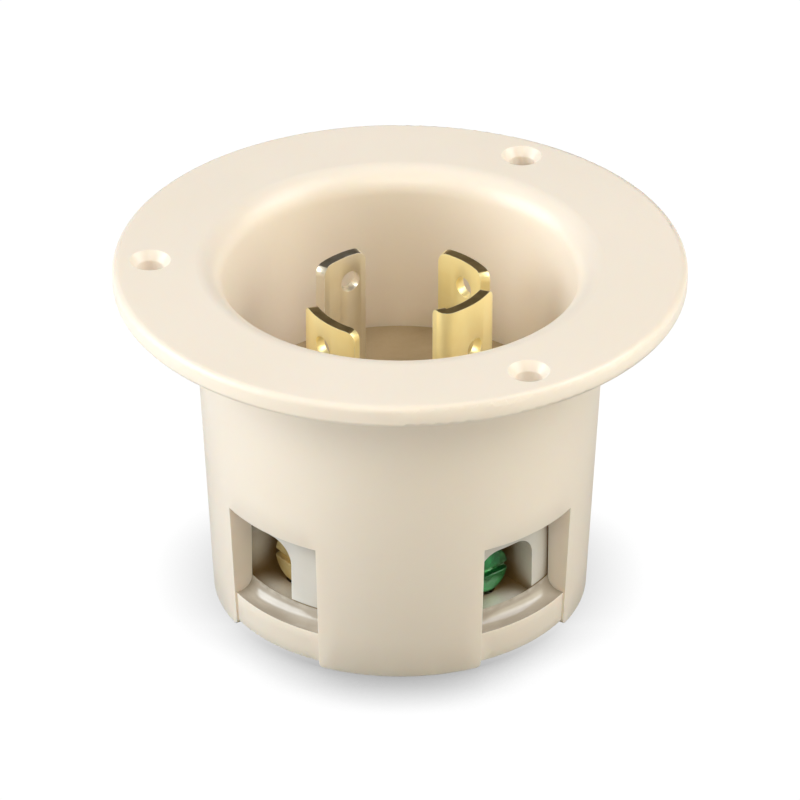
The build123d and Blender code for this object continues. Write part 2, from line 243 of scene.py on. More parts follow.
    @cached_property
    def grain(self) -> bpy.types.NodeTree:
        """Return the group that gives a fine height and roughness, stretched along each axis as told."""
        tree = self._blank(
            "grain",
            {
                "Scale": ("NodeSocketFloat", 1500.0),
                "Stretch": ("NodeSocketVector", (1.0, 1.0, 1.0)),
                "Low": ("NodeSocketFloat", 0.3),
                "High": ("NodeSocketFloat", 0.4),
            },
            {"Height": "NodeSocketFloat", "Roughness": "NodeSocketFloat"},
        )
        nodes, links = tree.nodes, tree.links
        place = nodes.new("ShaderNodeTexCoord")
        stretch = nodes.new("ShaderNodeVectorMath")
        stretch.operation = "MULTIPLY"
        noise = nodes.new("ShaderNodeTexNoise")
        noise.inputs["Detail"].default_value = 5.0
        spread = remap(nodes, 0.3, 0.7)
        links.new(place.outputs["Object"], stretch.inputs[0])
        links.new(nodes["in"].outputs["Stretch"], stretch.inputs[1])
        links.new(stretch.outputs["Vector"], noise.inputs["Vector"])
        links.new(nodes["in"].outputs["Scale"], noise.inputs["Scale"])
        links.new(noise.outputs["Fac"], spread.inputs["Value"])
        links.new(nodes["in"].outputs["Low"], spread.inputs["To Min"])
        links.new(nodes["in"].outputs["High"], spread.inputs["To Max"])
        links.new(noise.outputs["Fac"], nodes["out"].inputs["Height"])
        links.new(spread.outputs["Result"], nodes["out"].inputs["Roughness"])
        return tree


# --------------------------------------------------------------------------------------------
# Finishes
# --------------------------------------------------------------------------------------------


@dataclass(frozen=True)
class Finish:
    """A surface finish: two near colours, a grain, an edge colour that is partly wear and partly painted
    highlight, an optional painted shade in pockets and the shader's plain settings.
    """

    name: str
    light: Triple
    deep: Triple
    wear_and_highlight: Triple
    low_roughness: float
    high_roughness: float
    metallic: float = 0.0
    broad: float = 40.0
    fine: float = 400.0
    grain_scale: float = 1500.0
    stretch: Triple = (1.0, 1.0, 1.0)
    relief: float = 0.05
    relief_depth: float = 0.02 * MM
    edge_reach: float = 0.3 * MM
    subsurface: float = 0.0
    subsurface_reach: Triple = (1.0, 0.6, 0.35)
    subsurface_scale: float = 1.5 * MM
    coat: float = 0.0
    coat_roughness: float = 0.12
    ior: float = 1.5
    # Colour of painted shade deep in pockets, and how far the occlusion looks; None paints no shade.
    pocket_shade: Triple | None = None
    pocket_shade_reach: float = 6.0 * MM

    def build(self, groups: GroupMaker) -> bpy.types.Material:
        """Make the material.

        Args:
            groups: The maker of the shared node groups.

        Returns:
            The finished material.
        """
        material = bpy.data.materials.new(self.name)
        material.use_nodes = True
        nodes, links = material.node_tree.nodes, material.node_tree.links
        shader = nodes["Principled BSDF"]
        shader.inputs["Metallic"].default_value = self.metallic
        shader.inputs["IOR"].default_value = self.ior
        shader.inputs["Subsurface Weight"].default_value = self.subsurface
        shader.inputs["Subsurface Radius"].default_value = self.subsurface_reach
        shader.inputs["Subsurface Scale"].default_value = self.subsurface_scale
        shader.inputs["Coat Weight"].default_value = self.coat
        shader.inputs["Coat Roughness"].default_value = self.coat_roughness
        drift = self._group(nodes, groups.drift)
        drift.inputs["Light"].default_value = (*self.light, 1.0)
        drift.inputs["Deep"].default_value = (*self.deep, 1.0)
        drift.inputs["Broad"].default_value = self.broad
        drift.inputs["Fine"].default_value = self.fine
        wear_and_highlight_mask = self._group(nodes, groups.edge_wear_and_highlight)
        wear_and_highlight_mask.inputs["Reach"].default_value = self.edge_reach
        grain = self._group(nodes, groups.grain)
        grain.inputs["Scale"].default_value = self.grain_scale
        grain.inputs["Stretch"].default_value = self.stretch
        grain.inputs["Low"].default_value = self.low_roughness
        grain.inputs["High"].default_value = self.high_roughness
        paint = colour_mix(nodes)
        paint.inputs["B"].default_value = (*self.wear_and_highlight, 1.0)
        bump = nodes.new("ShaderNodeBump")
        bump.inputs["Strength"].default_value = self.relief
        bump.inputs["Distance"].default_value = self.relief_depth
        # Convex edges take the lighter edge colour: partly wear, partly painted highlight.
        links.new(wear_and_highlight_mask.outputs["Mask"], paint.inputs["Factor"])
        links.new(drift.outputs["Color"], paint.inputs["A"])
        colour = paint.outputs["Result"]
        # Painted shade: deep in pockets, found by ambient occlusion, the colour is darkened towards a
        # shade colour.
        if self.pocket_shade:
            pocket_shade_mask = self._group(nodes, groups.pocket_shade)
            pocket_shade_mask.inputs["Reach"].default_value = self.pocket_shade_reach
            shadow = colour_mix(nodes)
            shadow.inputs["B"].default_value = (*self.pocket_shade, 1.0)
            links.new(pocket_shade_mask.outputs["Mask"], shadow.inputs["Factor"])
            links.new(colour, shadow.inputs["A"])
            colour = shadow.outputs["Result"]
        links.new(colour, shader.inputs["Base Color"])
        links.new(grain.outputs["Roughness"], shader.inputs["Roughness"])
        links.new(grain.outputs["Height"], bump.inputs["Height"])
        links.new(bump.outputs["Normal"], shader.inputs["Normal"])
        return material

    @staticmethod
    def _group(nodes: bpy.types.Nodes, tree: bpy.types.NodeTree) -> bpy.types.Node:
        """Place a shared group in a material.

        Args:
            nodes: The material's nodes.
            tree: The shared group.

        Returns:
            The group's node.
        """
        node = nodes.new("ShaderNodeGroup")
        node.node_tree = tree
        return node


IVORY = Finish(
    "ivory_nylon",
    light=(0.86, 0.762, 0.665), deep=(0.835, 0.736, 0.632), wear_and_highlight=(0.9, 0.83, 0.75),
    low_roughness=0.3, high_roughness=0.36, broad=30.0, fine=90.0, grain_scale=900.0,
    relief=0.03, subsurface=0.25, subsurface_scale=1.6 * MM,
)
TAN = Finish(
    "tan_phenolic",
    light=(0.5, 0.385, 0.235), deep=(0.43, 0.32, 0.19), wear_and_highlight=(0.6, 0.48, 0.32),
    low_roughness=0.42, high_roughness=0.56, broad=120.0, fine=900.0, grain_scale=1800.0, relief=0.2,
)
# The clear core is darkened towards brown deep in its pockets, as painted shade.
CORE = Finish(
    "clear_core",
    light=(0.75, 0.715, 0.675), deep=(0.67, 0.63, 0.58), wear_and_highlight=(0.93, 0.92, 0.9),
    low_roughness=0.12, high_roughness=0.2, broad=60.0, fine=300.0, grain_scale=700.0, relief=0.04,
    subsurface=0.15, subsurface_scale=1.5 * MM, coat=0.3, pocket_shade=(0.24, 0.145, 0.05),
)
# The window sills take a dark, glossy colour: partly the look of the clear core seen there, partly painted
# shade that keeps these upward faces dark under the lamps above.
SHADED_SILL = Finish(
    "window_sill_shaded",
    light=(0.46, 0.4, 0.335), deep=(0.36, 0.305, 0.245), wear_and_highlight=(0.52, 0.46, 0.39),
    low_roughness=0.14, high_roughness=0.24, broad=160.0, fine=500.0, grain_scale=500.0,
    relief=0.15, relief_depth=0.05 * MM, coat=0.4,
)
REAR = Finish(
    "rear_nylon",
    light=(0.82, 0.73, 0.59), deep=(0.77, 0.68, 0.53), wear_and_highlight=(0.88, 0.81, 0.69),
    low_roughness=0.3, high_roughness=0.42, grain_scale=900.0, relief=0.08, subsurface=0.2,
)
# Brass and nickel take near-white edges, partly wear and partly painted edge highlight.
BRASS = Finish(
    "stamped_brass",
    light=(1.0, 0.86, 0.45), deep=(0.97, 0.79, 0.35), wear_and_highlight=(1.0, 0.96, 0.8),
    low_roughness=0.3, high_roughness=0.36, metallic=0.5, broad=160.0, fine=900.0, grain_scale=700.0,
    stretch=(1.0, 1.0, 0.25), relief=0.015, relief_depth=0.015 * MM, edge_reach=0.22 * MM,
)
NICKEL = Finish(
    "plated_nickel",
    light=(0.86, 0.79, 0.66), deep=(0.78, 0.69, 0.54), wear_and_highlight=(0.98, 0.97, 0.93),
    low_roughness=0.3, high_roughness=0.36, metallic=0.7, broad=120.0, fine=300.0,
    grain_scale=500.0, relief=0.01, relief_depth=0.015 * MM, edge_reach=0.22 * MM,
)
SHEARED_BRASS = replace(
    BRASS, name="sheared_brass",
    light=(0.5, 0.35, 0.15), deep=(0.3, 0.2, 0.08), metallic=0.85, broad=500.0,
)
SHEARED_NICKEL = replace(
    NICKEL, name="sheared_nickel",
    light=(0.42, 0.37, 0.29), deep=(0.24, 0.2, 0.14), metallic=0.85, broad=500.0,
)
ZINC = Finish(
    "zinc_steel",
    light=(0.76, 0.77, 0.78), deep=(0.62, 0.63, 0.65), wear_and_highlight=(0.9, 0.9, 0.9),
    low_roughness=0.24, high_roughness=0.4, metallic=1.0, broad=250.0, fine=1200.0, relief=0.15,
)
BRASS_SCREW = Finish(
    "brass_screw",
    light=(1.0, 0.83, 0.42), deep=(0.75, 0.54, 0.2), wear_and_highlight=(1.0, 0.95, 0.74),
    low_roughness=0.1, high_roughness=0.28, metallic=0.5, broad=500.0, fine=1600.0,
    grain_scale=1300.0, relief=0.8, relief_depth=0.1 * MM, coat=0.5,
)
SILVER_SCREW = Finish(
    "silver_screw",
    light=(0.82, 0.82, 0.81), deep=(0.66, 0.66, 0.66), wear_and_highlight=(0.95, 0.95, 0.95),
    low_roughness=0.1, high_roughness=0.3, metallic=1.0, broad=500.0, fine=1600.0,
    grain_scale=1300.0, relief=0.8, relief_depth=0.1 * MM,
)
# The green screw's pale rim colour, spread wide along the edge, is a painted highlight on the head's rim.
GREEN_SCREW = Finish(
    "green_screw",
    light=(0.05, 0.44, 0.12), deep=(0.01, 0.12, 0.03), wear_and_highlight=(0.72, 0.9, 0.72),
    low_roughness=0.06, high_roughness=0.26, metallic=0.6, broad=500.0, fine=1600.0,
    grain_scale=1300.0, relief=0.8, relief_depth=0.1 * MM, edge_reach=0.4 * MM, coat=1.0,
)

SCREW_FINISH = {
    Pole.HOT_X: BRASS_SCREW,
    Pole.HOT_Y: BRASS_SCREW,
    Pole.NEUTRAL: SILVER_SCREW,
    Pole.GROUND: GREEN_SCREW,
}


class Paintshop:
    """Makes each material once and puts it on objects."""

    def __init__(self) -> None:
        """Start with empty shelves."""
        self.groups = GroupMaker()
        self.shelf: dict[str, bpy.types.Material] = {}

    def material(self, finish: Finish) -> bpy.types.Material:
        """Take a finish's material from the shelf, and make it first if it isn't there.

        Args:
            finish: The finish wanted.

        Returns:
            Its material.
        """
        if finish.name not in self.shelf:
            self.shelf[finish.name] = finish.build(self.groups)
        return self.shelf[finish.name]

    def dress(self, obj: bpy.types.Object, finish: Finish) -> None:
        """Give an object one finish all over.

        Args:
            obj: The object to dress.
            finish: The finish it gets.
        """
        obj.data.materials.clear()
        obj.data.materials.append(self.material(finish))
        for polygon in obj.data.polygons:
            polygon.material_index = 0

    def trim(self, obj: bpy.types.Object, finish: Finish, test: Test) -> None:
        """Give some faces of a dressed object a second finish.

        Args:
            obj: The object, already dressed.
            finish: The finish for the chosen faces.
            test: Tells from a face's middle and its normal whether it is chosen.
        """
        obj.data.materials.append(self.material(finish))
        chosen = [polygon for polygon in obj.data.polygons if test(polygon.center, polygon.normal)]
        for polygon in chosen:
            polygon.material_index = len(obj.data.materials) - 1
        LOG.info("%s: %d faces in %s", obj.name, len(chosen), finish.name)


def round_edges(obj: bpy.types.Object, width: float) -> None:
    """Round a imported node's sharp edges with modifiers, and leave its mesh as it is.

    Args:
        obj: The node's object.
        width: Width of the rounding.
    """
    weld = obj.modifiers.new("weld", "WELD")
    weld.merge_threshold = 0.002 * MM
    bevel = obj.modifiers.new("round", "BEVEL")
    bevel.width = width
    bevel.segments = 3
    bevel.limit_method = "ANGLE"
    bevel.angle_limit = math.radians(38.0)
    bevel.harden_normals = True
    bevel.use_clamp_overlap = True


# --------------------------------------------------------------------------------------------
# Modelling helpers
# --------------------------------------------------------------------------------------------


class Bench:
    """The hand tools that every new piece is shaped with."""

    @staticmethod
    def clear() -> None:
        """Deselect everything, in object mode."""
        if bpy.context.object and bpy.context.object.mode != "OBJECT":
            bpy.ops.object.mode_set(mode="OBJECT")
        bpy.ops.object.select_all(action="DESELECT")

    @classmethod
    def pick(cls, obj: bpy.types.Object) -> None:
        """Make one object the only selected and the active one.

        Args:
            obj: The object to pick.
        """
        cls.clear()
        obj.select_set(True)
        bpy.context.view_layer.objects.active = obj

    @classmethod
    def cylinder(cls, name: str, radius: float, depth: float, centre: Triple,
                 sides: int = ROUND_SIDES, turn: Triple = (0.0, 0.0, 0.0)) -> bpy.types.Object:
        """Add a cylinder, upright before it is turned.

        Args:
            name: The new object's name.
            radius: Its radius.
            depth: Its length.
            centre: Its centre.
            sides: Number of its sides.
            turn: Its turn about X, Y and Z, in degrees.

        Returns:
            The new object.
        """
        cls.clear()
        bpy.ops.mesh.primitive_cylinder_add(vertices=sides, radius=radius, depth=depth, location=centre,
                                            rotation=[math.radians(angle) for angle in turn])
        obj = bpy.context.active_object
        obj.name = name
        bpy.ops.object.transform_apply(location=True, rotation=True, scale=True)
        return obj

    @classmethod
    def block(cls, name: str, centre: Triple, size: Triple) -> bpy.types.Object:
        """Add a box.

        Args:
            name: The new object's name.
            centre: Its centre.
            size: Its size along X, Y and Z.

        Returns:
            The new object.
        """
        cls.clear()
        bpy.ops.mesh.primitive_cube_add(size=1.0, location=centre)
        obj = bpy.context.active_object
        obj.name = name
        obj.scale = size
        bpy.ops.object.transform_apply(location=True, rotation=True, scale=True)
        return obj

    @classmethod
    def _deselect_mesh(cls, obj: bpy.types.Object, kind: str) -> None:
        """Deselect all of an object's mesh, and set what edit mode selects.

        Args:
            obj: The object to work on.
            kind: What is going to be selected, EDGE or FACE.
        """
        cls.pick(obj)
        bpy.ops.object.mode_set(mode="EDIT")
        bpy.ops.mesh.select_mode(type=kind)
        bpy.ops.mesh.select_all(action="DESELECT")
        bpy.ops.object.mode_set(mode="OBJECT")

    @classmethod
    def choose_edges(cls, obj: bpy.types.Object, test: Test) -> None:
        """Go into edit mode with the edges that pass a test selected.

        Args:
            obj: The object to work on.
            test: Takes an edge's two ends and says whether it is chosen.
        """
        cls._deselect_mesh(obj, "EDGE")
        points = obj.data.vertices
        for edge in obj.data.edges:
            edge.select = test(points[edge.vertices[0]].co, points[edge.vertices[1]].co)
        bpy.ops.object.mode_set(mode="EDIT")

    @classmethod
    def choose_faces(cls, obj: bpy.types.Object, test: Test) -> None:
        """Go into edit mode with the faces that pass a test selected.

        Args:
            obj: The object to work on.
            test: Takes a face's centre and normal and says whether it is chosen.
        """
        cls._deselect_mesh(obj, "FACE")
        for face in obj.data.polygons:
            face.select = test(face.center, face.normal)
        bpy.ops.object.mode_set(mode="EDIT")

    @classmethod
    def bevel_edges(cls, obj: bpy.types.Object, test: Test, width: float, segments: int) -> None:
        """Bevel the edges that pass a test.

        Args:
            obj: The object to work on.
            test: Takes an edge's two ends and says whether it is bevelled.
            width: Width of the bevel.
            segments: Number of faces across it.
        """
        cls.choose_edges(obj, test)
        bpy.ops.mesh.bevel(offset=width, segments=segments, affect="EDGES")
        bpy.ops.object.mode_set(mode="OBJECT")

    @classmethod
    def apply(cls, obj: bpy.types.Object) -> None:
        """Apply every modifier of an object, in order.

        Args:
            obj: The object to finish.
        """
        cls.pick(obj)
        for modifier in list(obj.modifiers):
            bpy.ops.object.modifier_apply(modifier=modifier.name)

    @classmethod
    def cut(cls, obj: bpy.types.Object, cutter: bpy.types.Object) -> None:
        """Take one object's shape out of another, and remove it.

        Args:
            obj: The piece that is cut.
            cutter: The shape that is taken out.
        """
        boolean = obj.modifiers.new("cut", "BOOLEAN")
        boolean.operation = "DIFFERENCE"
        boolean.solver = "EXACT"
        boolean.object = cutter
        cls.apply(obj)
        bpy.data.objects.remove(cutter, do_unlink=True)

    @classmethod
    def join(cls, obj: bpy.types.Object, other: bpy.types.Object) -> None:
        """Make two objects one.

        Args:
            obj: The object that is kept.
            other: The object that becomes part of it.
        """
        cls.pick(obj)
        other.select_set(True)
        bpy.ops.object.join()

    @classmethod
    def settle(cls, obj: bpy.types.Object, place: Matrix) -> None:
        """Clean, place and smooth a piece, with its object left at the origin.

        Args:
            obj: The piece.
            place: Where its local frame stands.
        """
        cls.pick(obj)
        bpy.ops.object.mode_set(mode="EDIT")
        bpy.ops.mesh.select_all(action="SELECT")
        bpy.ops.mesh.remove_doubles(threshold=0.001 * MM)
        bpy.ops.mesh.normals_make_consistent(inside=False)
        bpy.ops.object.mode_set(mode="OBJECT")
        obj.matrix_world = place
        bpy.ops.object.transform_apply(location=True, rotation=True, scale=True)
        bpy.ops.object.shade_smooth_by_angle(angle=math.radians(40.0))

    @classmethod
    def twin(cls, obj: bpy.types.Object, name: str) -> bpy.types.Object:
        """Copy an unplaced piece, with a mesh of its own.

        Args:
            obj: The piece to copy.
            name: The copy's name.

        Returns:
            The copy.
        """
        copy = obj.copy()
        copy.data = obj.data.copy()
        copy.name = name
        bpy.context.scene.collection.objects.link(copy)
        return copy


# --------------------------------------------------------------------------------------------
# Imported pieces
# --------------------------------------------------------------------------------------------

# Where the blades' sheared ends and the windows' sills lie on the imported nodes.
TIP_LOW = -2.5 * MM
SILL_LOW, SILL_HIGH = -44.9 * MM, -42.0 * MM
SILL_INNER, SILL_OUTER = 24.85 * MM, 27.55 * MM


def is_sill(middle: Vector, normal: Vector) -> bool:
    """Tell whether a face of the shell is on the hollowed sill of a window.

    Args:
        middle: The face's middle.
        normal: The face's normal.

    Returns:
        True on a sill.
    """
    radius = math.hypot(middle.x, middle.y)
    return SILL_LOW < middle.z < SILL_HIGH and SILL_INNER < radius < SILL_OUTER and normal.z > 0.01


def is_blade_tip(middle: Vector, normal: Vector) -> bool:
    """Tell whether a face of a blade is on the sheared end of its tip.

    Args:
        middle: The face's middle.
        normal: The face's normal.

    Returns:
        True on a tip's end.
    """
    return middle.z > TIP_LOW and normal.z > 0.9


@dataclass
class Enclosure:
    """The shell, blade base, terminal housing and rear cover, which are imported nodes."""

    nodes: dict[str, bpy.types.Object]
    shell_round: float = 0.25 * MM
    base_round: float = 0.15 * MM
    housing_round: float = 0.2 * MM
    cover_round: float = 0.2 * MM

    def build(self, shop: Paintshop) -> list[bpy.types.Object]:
        """Round and dress the four nodes.

        Args:
            shop: The maker of finishes.

        Returns:
            The nodes' objects.
        """
        made = []
        for name, finish, width in (
            ("flange_shell", IVORY, self.shell_round),
            ("blade_base", TAN, self.base_round),
            ("terminal_housing", CORE, self.housing_round),
            ("rear_cover", REAR, self.cover_round),
        ):
            shop.dress(self.nodes[name], finish)
            round_edges(self.nodes[name], width)
            made.append(self.nodes[name])
        # The sills get their darker colour, partly painted shade.
        shop.trim(self.nodes["flange_shell"], SHADED_SILL, is_sill)
        return made


@dataclass
class Blades:
    """The four locking blades and the washers of their terminal screws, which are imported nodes."""

    nodes: dict[str, bpy.types.Object]
    blade_round: float = 0.45 * MM
    washer_round: float = 0.1 * MM

    def build(self, shop: Paintshop) -> list[bpy.types.Object]:
        """Round and dress the eight nodes.

        Args:
            shop: The maker of finishes.

        Returns:
            The nodes' objects.
        """
        made = []
        for pole in Pole:
            rolled, sheared = (NICKEL, SHEARED_NICKEL) if pole is Pole.NEUTRAL else (BRASS, SHEARED_BRASS)
            blade, washer = self.nodes[f"blade_{pole.value}"], self.nodes[f"washer_{pole.value}"]
            shop.dress(blade, rolled)
            shop.trim(blade, sheared, is_blade_tip)
            round_edges(blade, self.blade_round)
            shop.dress(washer, ZINC)
            round_edges(washer, self.washer_round)
            made += [blade, washer]
        return made


# --------------------------------------------------------------------------------------------
# Screws and clamps
# --------------------------------------------------------------------------------------------

TERMINAL_AZIMUTH = {Pole.HOT_Y: 39.0, Pole.NEUTRAL: 129.0, Pole.HOT_X: 219.0, Pole.GROUND: 309.0}
TERMINAL_LEVEL = -39.6 * MM


def outward(azimuth: float, radius: float, level: float) -> Matrix:
    """Return the frame whose local Z runs outward and whose local X runs down.

    Args:
        azimuth: Direction from the main axis, in degrees.
        radius: Distance of its origin from the main axis.
        level: Height of its origin.

    Returns:
        The frame's matrix.
    """
    return (Matrix.Rotation(math.radians(azimuth), 4, "Z")
            @ Matrix.Translation((radius, 0.0, level))
            @ Matrix.Rotation(math.radians(90.0), 4, "Y"))


@dataclass
class SlottedScrew:
    """A slotted pan-head screw with a cut thread. Its head stands on the local origin.

    crown_share is a share of the head's radius, and ridge_foot a share of the pitch.
    """

    head_radius: float
    head_height: float
    shank_radius: float
    shank_length: float
    pitch: float
    thread_depth: float
    slot_width: float = 1.1 * MM
    slot_depth: float = 1.1 * MM
    slot_round: float = 0.09 * MM
    head_round: float = 0.55 * MM
    crown_share: float = 0.3
    crown_height: float = 0.06 * MM
    tip_chamfer: float = 0.25 * MM
    plain_length: float = 0.4 * MM
    ridge_foot: float = 0.9
    ridge_sunk: float = 0.05 * MM
    ridge_steps: int = 24

    def make(self, name: str) -> bpy.types.Object:
        """Model the screw.

        Args:
            name: The screw's name.

        Returns:
            The screw, in its local frame.
        """
        screw = Bench.cylinder(name, self.head_radius, self.head_height, (0.0, 0.0, self.head_height / 2))
        self._crown(screw)
        self._draw_core(screw)
        slot_size = (self.slot_width, 4 * self.head_radius, 2 * self.slot_depth)
        Bench.cut(screw, Bench.block("slot", (0.0, 0.0, self.head_height), slot_size))
        self._round_slot(screw)
        Bench.join(screw, self._thread())
        return screw

    def _crown(self, screw: bpy.types.Object) -> None:
        """Round the head's rim and raise its middle.

        Args:
            screw: The plain head.
        """
        top = self.head_height - NEAR
        Bench.bevel_edges(screw, lambda a, b: a.z > top and b.z > top, self.head_round, segments=5)
        Bench.choose_faces(screw, lambda centre, normal: centre.z > top and normal.z > 0.9)
        bpy.ops.mesh.inset(thickness=self.head_radius * self.crown_share)
        bpy.ops.transform.translate(value=(0.0, 0.0, self.crown_height))
        bpy.ops.object.mode_set(mode="OBJECT")

    def _draw_core(self, screw: bpy.types.Object) -> None:
        """Draw the shank's core out of the head's underside, and chamfer its tip.

        Args:
            screw: The head.
        """
        Bench.choose_faces(screw, lambda centre, normal: centre.z < NEAR and normal.z < -0.9)
        bpy.ops.mesh.inset(thickness=self.head_radius - self.shank_radius + self.thread_depth)
        bpy.ops.mesh.extrude_region_move(TRANSFORM_OT_translate={"value": (0.0, 0.0, -self.shank_length)})
        bpy.ops.object.mode_set(mode="OBJECT")
        tip = NEAR - self.shank_length
        Bench.bevel_edges(screw, lambda a, b: a.z < tip and b.z < tip, self.tip_chamfer, segments=2)

    def _round_slot(self, screw: bpy.types.Object) -> None:
        """Break the slot's upper edges.

        Args:
            screw: The screw's head and core.
        """
        side = self.slot_width / 2
        floor = self.head_height - self.slot_depth + 0.2 * MM

        def on_rim(a: Vector, b: Vector) -> bool:
            """Tell whether an edge lies along the top of one of the slot's sides."""
            on_side = all(abs(abs(end.x) - side) < NEAR and end.z > floor for end in (a, b))
            return on_side and abs(a.y - b.y) > 0.05 * MM

        Bench.bevel_edges(screw, on_rim, self.slot_round, segments=2)

    def _thread(self) -> bpy.types.Object:
        """Wind the thread's ridge round the core.

        Returns:
            The ridge.
        """
        root = self.shank_radius - self.thread_depth - self.ridge_sunk
        half = self.ridge_foot * self.pitch / 2
        start = self.tip_chamfer + self.pitch / 2 - self.shank_length
        Bench.clear()
        bpy.ops.mesh.primitive_circle_add(vertices=3, radius=self.pitch / 2, fill_type="NOTHING")
        ridge = bpy.context.active_object
        corners = ((root, start - half), (self.shank_radius, start), (root, start + half))
        for vertex, (radius, level) in zip(ridge.data.vertices, corners):
            vertex.co = (radius, 0.0, level)
        winding = ridge.modifiers.new("wind", "SCREW")
        winding.iterations = int((self.shank_length - self.plain_length - self.pitch) / self.pitch)
        winding.screw_offset = self.pitch
        winding.steps = self.ridge_steps
        winding.render_steps = self.ridge_steps
        winding.use_merge_vertices = True
        winding.merge_threshold = 0.001 * MM
        Bench.apply(ridge)
        bpy.ops.object.mode_set(mode="EDIT")
        bpy.ops.mesh.select_all(action="SELECT")
        bpy.ops.mesh.fill_holes(sides=4)
        bpy.ops.object.mode_set(mode="OBJECT")
        return ridge


@dataclass
class TerminalHardware:
    """The four terminal screws, and the serrated clamp plates behind them."""

    head_radius_from_axis: float = 18.62 * MM
    clamp_inner: float = 16.8 * MM
    clamp_thickness: float = 1.2 * MM
    clamp_width: float = 8.8 * MM
    clamp_height: float = 7.3 * MM
    clamp_floor: float = -43.0 * MM
    clamp_corner: float = 0.8 * MM
    tooth: float = 0.3 * MM
    tooth_pitch: float = 1.2 * MM
    tooth_margin: float = 0.6 * MM
    hole_radius: float = 2.1 * MM
    screw: SlottedScrew = field(default_factory=lambda: SlottedScrew(
        head_radius=3.6 * MM, head_height=2.13 * MM, shank_radius=2.04 * MM, shank_length=6.8 * MM,
        pitch=0.794 * MM, thread_depth=0.35 * MM))

    def build(self, shop: Paintshop) -> list[bpy.types.Object]:
        """Model, place and dress all of it.

        Args:
            shop: The maker of finishes.

        Returns:
            The new pieces.
        """
        made = []
        pattern = self.screw.make("terminal_screw")
        plate = self._clamp()
        for pole in Pole:
            azimuth = TERMINAL_AZIMUTH[pole]
            screw = Bench.twin(pattern, f"screw_{pole.value}_cut")
            Bench.settle(screw, outward(azimuth, self.head_radius_from_axis, TERMINAL_LEVEL))
            shop.dress(screw, SCREW_FINISH[pole])
            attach(screw, f"{pole.value}_screw")
            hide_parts(f"screw_{pole.value}")
            clamp = Bench.twin(plate, f"clamp_{pole.value}_serrated")
            Bench.settle(clamp, Matrix.Rotation(math.radians(azimuth), 4, "Z"))
            shop.dress(clamp, ZINC)
            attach(clamp, f"{pole.value}_clamp")
            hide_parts(f"clamp_{pole.value}")
            made += [screw, clamp]
        for pattern_piece in (pattern, plate):
            bpy.data.objects.remove(pattern_piece, do_unlink=True)
        return made

    def _clamp(self) -> bpy.types.Object:
        """Model one clamp plate, standing on the +X side.

        Returns:
            The plate, unplaced.
        """
        middle = self.clamp_inner + self.clamp_thickness / 2
        centre = (middle, 0.0, self.clamp_floor + self.clamp_height / 2)
        plate = Bench.block("clamp", centre, (self.clamp_thickness, self.clamp_width, self.clamp_height))
        Bench.bevel_edges(plate, lambda a, b: abs(a.x - b.x) > self.clamp_thickness / 2,
                          self.clamp_corner, segments=5)
        rows = int((self.clamp_height - 2 * self.tooth_margin) / self.tooth_pitch)
        for row in range(rows + 1):
            level = self.clamp_floor + self.tooth_margin + row * self.tooth_pitch
            groove = Bench.cylinder("groove", self.tooth, 2 * self.clamp_width,
                                    (self.clamp_inner, 0.0, level), sides=4, turn=(90.0, 0.0, 0.0))
            Bench.cut(plate, groove)
        hole = Bench.cylinder("hole", self.hole_radius, 4 * self.clamp_thickness,
                              (middle, 0.0, TERMINAL_LEVEL), turn=(0.0, 90.0, 0.0))
        Bench.cut(plate, hole)
        return plate


@dataclass
class AssemblyHardware:
    """The two long screws in the rear cover."""

    centre: float = 21.084 * MM
    seat: float = -47.9 * MM
    screw: SlottedScrew = field(default_factory=lambda: SlottedScrew(
        head_radius=2.9 * MM, head_height=1.83 * MM, shank_radius=1.69 * MM, shank_length=23.9 * MM,
        pitch=1.3 * MM, thread_depth=0.4 * MM, slot_width=1.0 * MM, slot_depth=0.9 * MM,
        head_round=0.5 * MM, plain_length=13.0 * MM))

    def build(self, shop: Paintshop) -> list[bpy.types.Object]:
        """Model, place and dress both screws.

        Args:
            shop: The maker of finishes.

        Returns:
            The new pieces.
        """
        pattern = self.screw.make("assembly_screw")
        made = []
        for side, azimuth in (("right", 0.0), ("left", 180.0)):
            screw = Bench.twin(pattern, f"assembly_screw_{side}")
            place = (Matrix.Rotation(math.radians(azimuth), 4, "Z")
                     @ Matrix.Translation((self.centre, 0.0, self.seat))
                     @ Matrix.Rotation(math.radians(180.0), 4, "X"))
            Bench.settle(screw, place)
            shop.dress(screw, ZINC)
            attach(screw, "inlet")
            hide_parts("assembly_screws")
            made.append(screw)
        bpy.data.objects.remove(pattern, do_unlink=True)
        return made


# --------------------------------------------------------------------------------------------
# The studio
# --------------------------------------------------------------------------------------------


@dataclass(frozen=True)
class Softbox:
    """A soft rectangular light that faces the object."""

    name: str
    place: Triple
    size: tuple[float, float]
    power: float
    colour: Triple = (1.0, 1.0, 1.0)


SOFTBOXES = (
    Softbox("left", (-0.75, -0.05, 0.32), (0.7, 0.55), 7.0, (0.92, 0.98, 1.0)),
    Softbox("right", (0.75, -0.05, 0.32), (0.7, 0.55), 3.2, (1.0, 0.98, 0.8)),
    Softbox("right_high", (0.62, 0.0, 0.66), (0.6, 0.6), 4.3, (0.88, 0.92, 1.0)),
    Softbox("left_high", (-0.62, 0.0, 0.66), (0.6, 0.6), 1.0),
    Softbox("front_high", (0.0, -0.75, 0.75), (0.7, 0.4), 3.3, (1.0, 0.97, 0.82)),
    Softbox("front_low", (0.0, -0.95, 0.25), (0.8, 0.4), 1.1, (1.0, 0.95, 0.7)),
)


